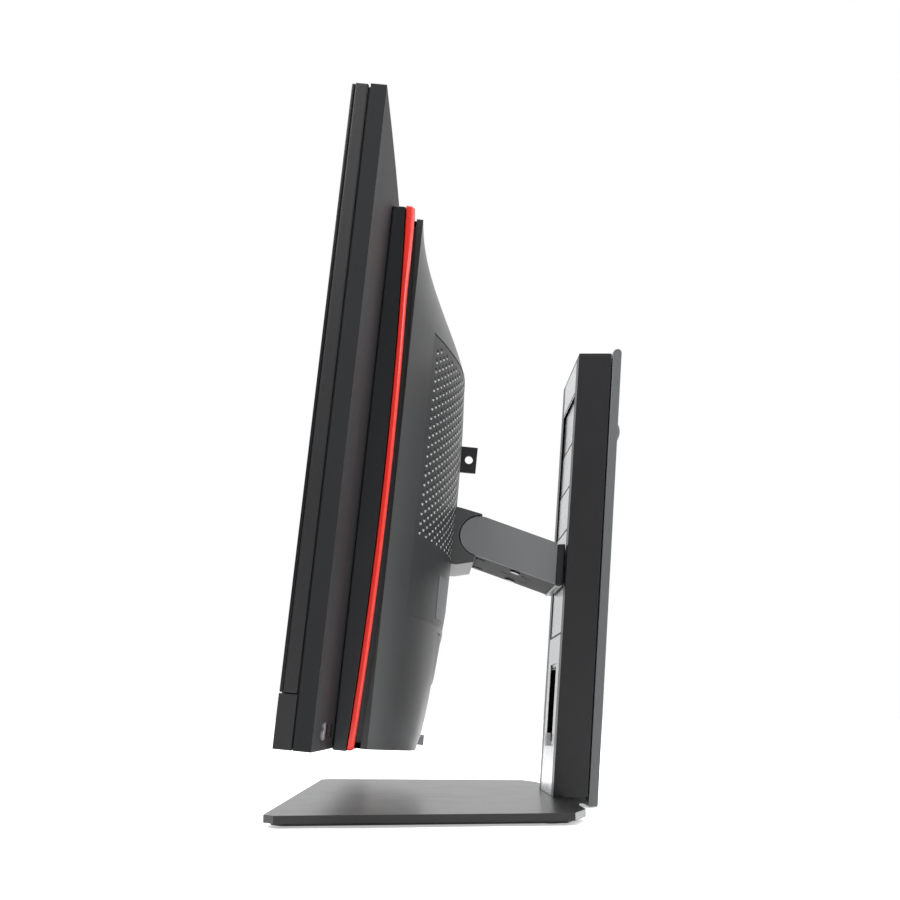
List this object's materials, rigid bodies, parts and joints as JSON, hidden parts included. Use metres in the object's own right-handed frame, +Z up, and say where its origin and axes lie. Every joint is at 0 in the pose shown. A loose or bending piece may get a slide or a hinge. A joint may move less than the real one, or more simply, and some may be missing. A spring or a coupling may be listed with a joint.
{
  "type": "all in one pc",
  "caption": "Desktop computer built into a wide flat display, with a tilting head on a height-adjustable arm, a leaning column and a flat base plate.",
  "frame": {"origin": "floor level, centred under the object's bounding box", "axes": "+X to the right of a person facing the screen, +Y from the screen to the back, +Z up"},
  "size_m": [0.57, 0.249, 0.4132],
  "materials": {
    "base_steel": "semi-gloss black",
    "underlay_black": "matt black",
    "rubber": "matt black rubber",
    "bright_steel": "bright zinc or ground steel",
    "bracket_steel": "black-coated steel",
    "column_black": "fine satin black",
    "shutter_grey": "satin grey",
    "cover_grey": "satin grey",
    "button_grey": "satin dark grey",
    "clip_light": "light grey",
    "spring_black": "gloss black tube",
    "cast_alloy": "as-cast alloy",
    "pad_nylon": "natural nylon",
    "washer_bronze": "bronze",
    "collar_black": "satin black",
    "arm_grey": "satin grey",
    "block_grey": "satin grey",
    "screen": "gloss black glass",
    "panel_black": "satin",
    "tray_metal": "satin",
    "frame_black": "satin black",
    "display_grey": "fine satin grey",
    "port_metal": "nickel-faced sockets",
    "button_silver": "silver satin",
    "camera_black": "black",
    "band_black": "satin near-black",
    "accent_red": "satin red",
    "housing_dark": "satin dark grey",
    "grille_dark": "satin dark grey",
    "lug_black": "black-coated steel",
    "chassis_metal": "plain sheet",
    "board_green": "circuit board",
    "sink_alloy": "bare alloy",
    "copper": "bare copper",
    "fan_black": "black",
    "module_grey": "boxed module"
  },
  "bodies": {
    "stand": {"base_plate": "base_steel", "base_underlay": "underlay_black", "rubber_feet": "rubber", "base_screws": "bright_steel", "column_bracket": "bracket_steel", "column_channel": "column_black", "column_top_cap": "column_black", "column_rear_cover": "cover_grey", "shutter_header": "shutter_grey", "lower_front_cover": "shutter_grey", "cable_clip": "clip_light", "guide_rails": "bright_steel", "gas_spring_cylinder": "spring_black"},
    "release_button": {"release_button": "button_grey"},
    "upper_plate_1": {"shutter_upper_1": "shutter_grey"},
    "upper_plate_2": {"shutter_upper_2": "shutter_grey"},
    "upper_plate_3": {"shutter_upper_3": "shutter_grey"},
    "lower_plate_1": {"shutter_lower_1": "shutter_grey"},
    "lower_plate_2": {"shutter_lower_2": "shutter_grey"},
    "lower_plate_3": {"shutter_lower_3": "shutter_grey"},
    "arm": {"shutter_carrier": "shutter_grey", "carriage": "cast_alloy", "glide_pads": "pad_nylon", "gas_spring_rod": "bright_steel", "arm_collar": "collar_black", "arm_casting": "cast_alloy", "arm_shell": "arm_grey", "arm_bottom_cover": "arm_grey", "arm_screws": "bright_steel", "hinge_pin": "bright_steel", "friction_washers": "washer_bronze"},
    "head": {"hinge_bracket": "bracket_steel", "hinge_block": "block_grey", "screen_glass": "screen", "front_frame": "frame_black", "chin_bar": "frame_black", "lcd_panel": "panel_black", "backlight_tray": "tray_metal", "camera_module": "camera_black", "speakers": "camera_black", "display_back": "display_grey", "side_ports": "port_metal", "housing_band": "band_black", "accent_strip": "accent_red", "rear_cover": "housing_dark", "vent_grille": "grille_dark", "io_cover": "grille_dark", "rear_tab": "clip_light", "lock_lug": "lug_black", "chassis_plate": "chassis_metal", "chassis_screws": "bright_steel", "motherboard": "board_green", "memory_modules": "board_green", "heatsink": "sink_alloy", "heat_pipes": "copper", "fan_housing": "fan_black", "storage_drive": "module_grey", "power_supply": "module_grey"},
    "power_button": {"power_button": "button_silver"},
    "fan": {"fan_rotor": "fan_black"}
  },
  "joints": [
    {"name": "height_slide", "type": "slide", "parent": "stand", "child": "arm", "axis": [0, 0.0792, 0.9969], "range_m": [-0.01, 0.09]},
    {"name": "head_tilt", "type": "hinge", "parent": "arm", "child": "head", "pos_m": [0, 0.0115, 0.19773], "axis": [1, 0, 0], "range_deg": [-14, 8]},
    {"name": "power_button_press", "type": "slide", "parent": "head", "child": "power_button", "axis": [0, -0.995, 0.1], "range_m": [0, 0.001], "stiffness_N_per_m": 900, "springref_m": -0.001},
    {"name": "release_button_press", "type": "slide", "parent": "stand", "child": "release_button", "axis": [0, -0.9969, 0.0792], "range_m": [0, 0.003], "stiffness_N_per_m": 900, "springref_m": -0.002},
    {"name": "fan_spin", "type": "hinge", "parent": "head", "child": "fan", "pos_m": [-0.105, -0.05418, 0.23921], "axis": [0, 0.995, -0.1], "continuous": true},
    {"name": "upper_plate_1_slide", "type": "slide", "parent": "stand", "child": "upper_plate_1", "axis": [0, 0.0792, 0.9969], "range_m": [-0.0075, 0.0675]},
    {"name": "lower_plate_1_slide", "type": "slide", "parent": "stand", "child": "lower_plate_1", "axis": [0, 0.0792, 0.9969], "range_m": [-0.0075, 0.0675]},
    {"name": "upper_plate_2_slide", "type": "slide", "parent": "stand", "child": "upper_plate_2", "axis": [0, 0.0792, 0.9969], "range_m": [-0.005, 0.045]},
    {"name": "lower_plate_2_slide", "type": "slide", "parent": "stand", "child": "lower_plate_2", "axis": [0, 0.0792, 0.9969], "range_m": [-0.005, 0.045]},
    {"name": "upper_plate_3_slide", "type": "slide", "parent": "stand", "child": "upper_plate_3", "axis": [0, 0.0792, 0.9969], "range_m": [-0.0025, 0.0225]},
    {"name": "lower_plate_3_slide", "type": "slide", "parent": "stand", "child": "lower_plate_3", "axis": [0, 0.0792, 0.9969], "range_m": [-0.0025, 0.0225]}
  ],
  "couplings": [
    {"joint": "upper_plate_1_slide", "follows": "height_slide", "ratio": 0.75},
    {"joint": "lower_plate_1_slide", "follows": "height_slide", "ratio": 0.75},
    {"joint": "upper_plate_2_slide", "follows": "height_slide", "ratio": 0.5},
    {"joint": "lower_plate_2_slide", "follows": "height_slide", "ratio": 0.5},
    {"joint": "upper_plate_3_slide", "follows": "height_slide", "ratio": 0.25},
    {"joint": "lower_plate_3_slide", "follows": "height_slide", "ratio": 0.25}
  ]
}
